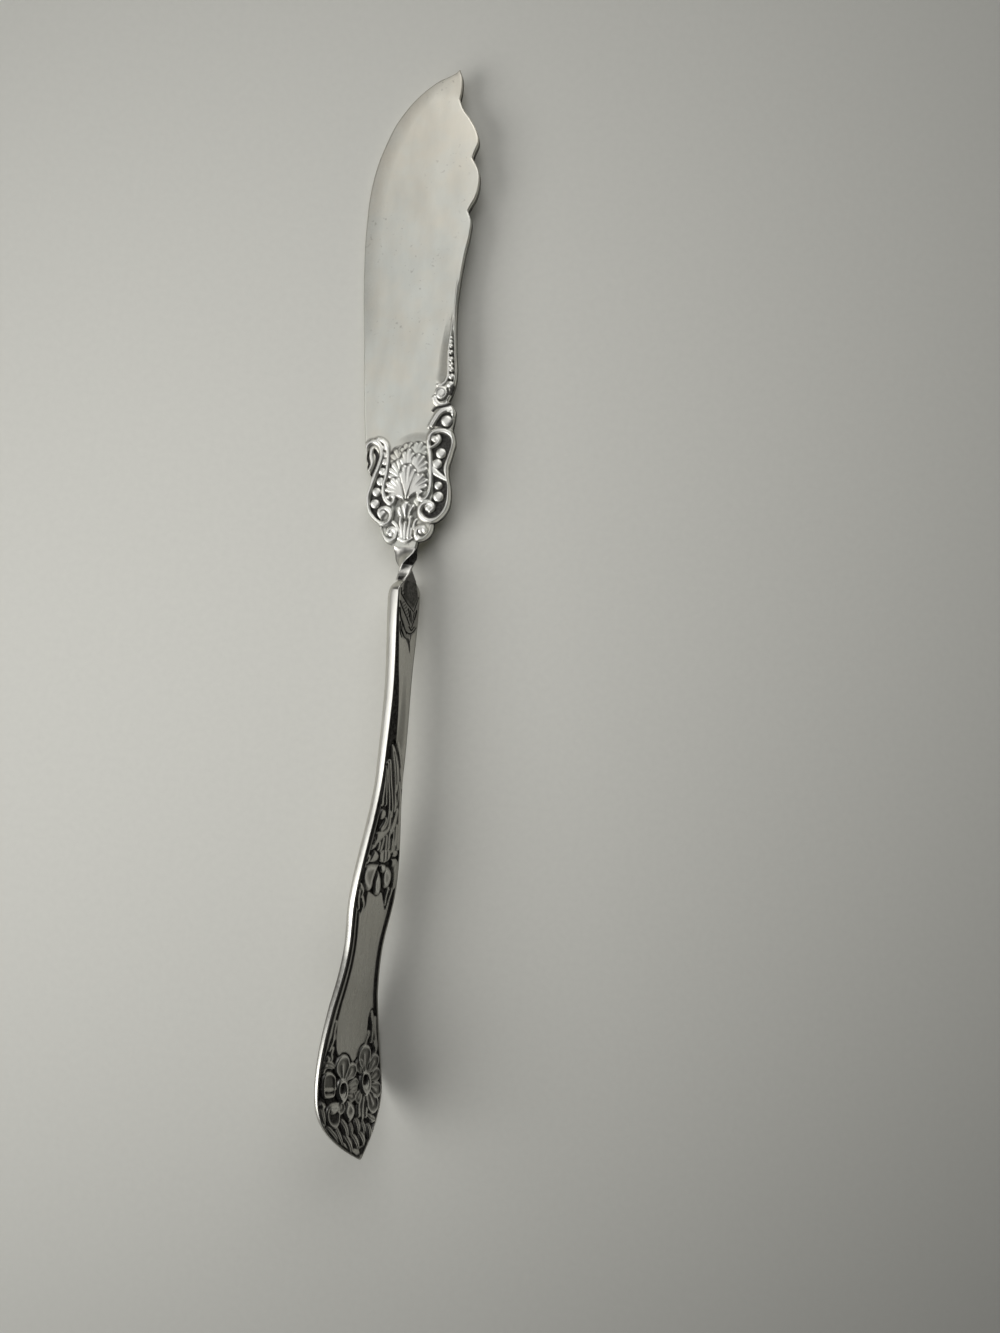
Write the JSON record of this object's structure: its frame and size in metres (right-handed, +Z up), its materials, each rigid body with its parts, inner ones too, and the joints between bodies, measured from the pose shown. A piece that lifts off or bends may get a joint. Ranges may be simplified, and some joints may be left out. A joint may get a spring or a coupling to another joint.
{
  "type": "master butter knife",
  "caption": "Silver-plated butter serving knife with a scalloped blade, scrolled heel, twisted neck and a flower-ended handle that stands on its edge.",
  "frame": {"origin": "middle of the knife's footprint, on the table it lies on", "axes": "+Y from the handle's end to the blade's tip, +X towards the blade's spine, +Z up"},
  "size_m": [0.0198, 0.1784, 0.0145],
  "materials": {
    "blade_silver": "satin silver plate with fine wear and tarnish in the struck ornament",
    "neck_silver": "polished silver plate",
    "handle_silver": "polished silver plate with dark tarnish in the struck ornament"
  },
  "bodies": {
    "root": {"blade": "blade_silver", "twisted_neck": "neck_silver", "handle": "handle_silver"}
  },
  "joints": []
}
